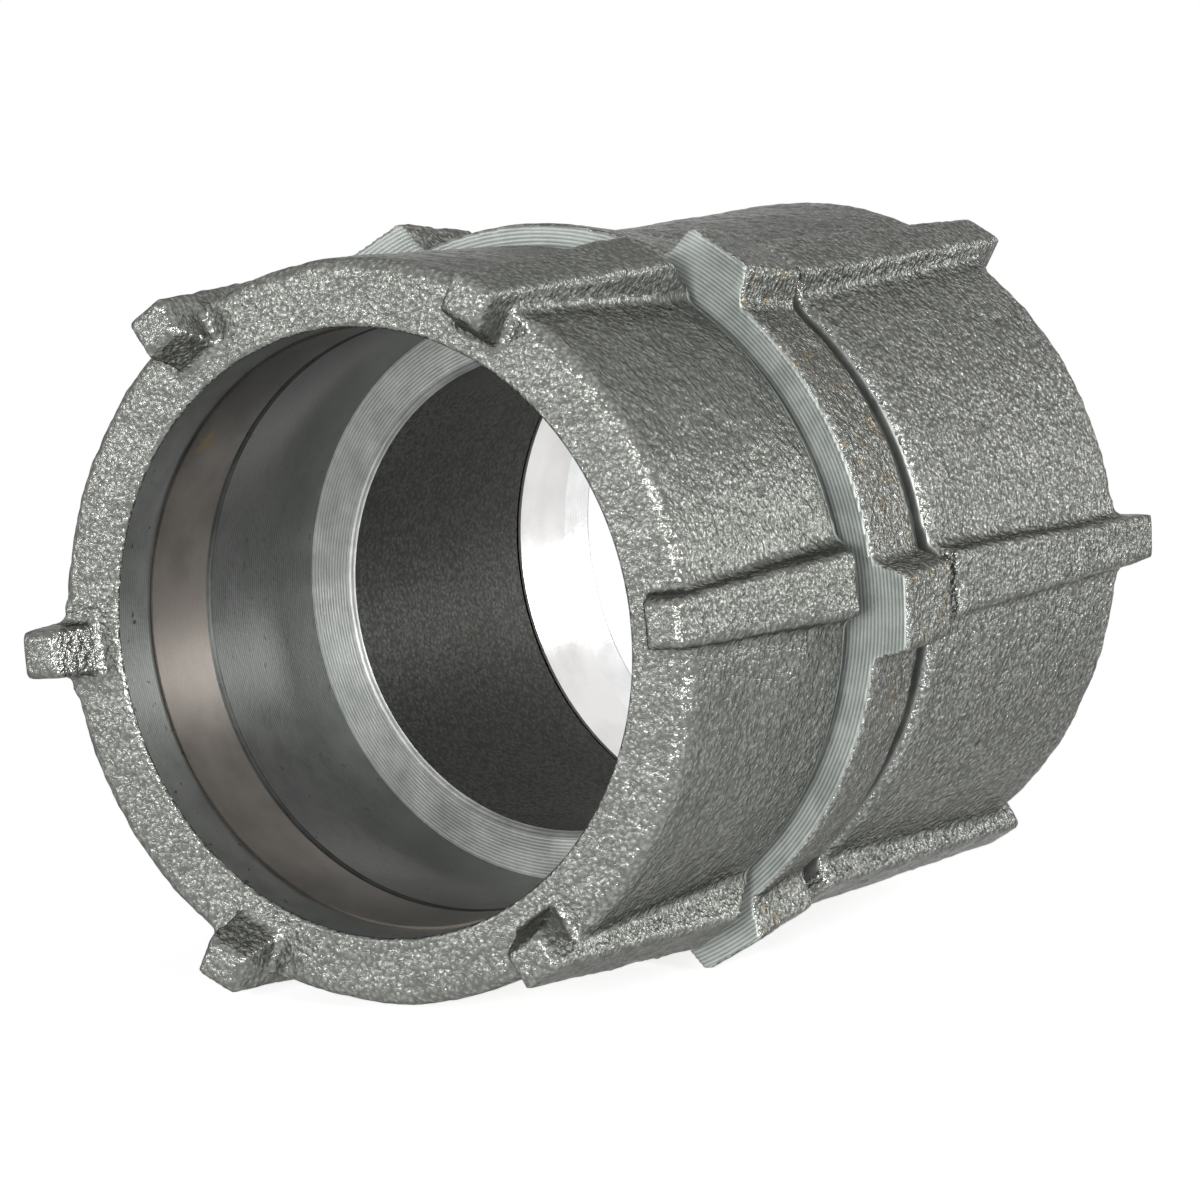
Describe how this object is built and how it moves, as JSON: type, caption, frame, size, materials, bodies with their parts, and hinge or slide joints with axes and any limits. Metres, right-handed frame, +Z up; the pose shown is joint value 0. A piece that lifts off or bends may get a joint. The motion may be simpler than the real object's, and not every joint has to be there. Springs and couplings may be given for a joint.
{
  "type": "conduit coupling",
  "caption": "Threadless compression coupling for rigid conduit: cast body with a lugged collar, split rings and ribbed gland nuts at both ends.",
  "frame": {"origin": "on the conduit axis, half way between the faces of the two gland nuts", "axes": "+Y along the conduit axis from the near nut towards the far nut, +Z up as the coupling lies on the two lower lugs of its collar, +X to the right seen from the near end"},
  "size_m": [0.1032, 0.1242, 0.0942],
  "materials": {
    "galvanised_casting": "zinc-coated sand casting, machined faces finely turned",
    "ring_steel": "plain turned steel with a light brown film"
  },
  "bodies": {
    "coupling": {"coupling_body": "galvanised_casting"},
    "near_ring_carrier": {"near_ring": "ring_steel"},
    "near_gland": {"near_nut": "galvanised_casting"},
    "far_ring_carrier": {"far_ring": "ring_steel"},
    "far_gland": {"far_nut": "galvanised_casting"}
  },
  "joints": [
    {"name": "near_advance", "type": "slide", "parent": "coupling", "child": "near_ring_carrier", "axis": [0, -1, 0], "range_m": [0, 0.01988]},
    {"name": "near_turn", "type": "hinge", "parent": "near_ring_carrier", "child": "near_gland", "pos_m": [0, -0.036, 0], "axis": [0, -1, 0], "range_deg": [0, 3240]},
    {"name": "far_advance", "type": "slide", "parent": "coupling", "child": "far_ring_carrier", "axis": [0, 1, 0], "range_m": [0, 0.01988]},
    {"name": "far_turn", "type": "hinge", "parent": "far_ring_carrier", "child": "far_gland", "pos_m": [0, 0.036, 0], "axis": [0, 1, 0], "range_deg": [0, 3240]}
  ],
  "couplings": [
    {"joint": "near_advance", "follows": "near_turn", "m_per_rad": 0.00035153},
    {"joint": "far_advance", "follows": "far_turn", "m_per_rad": 0.00035153}
  ]
}
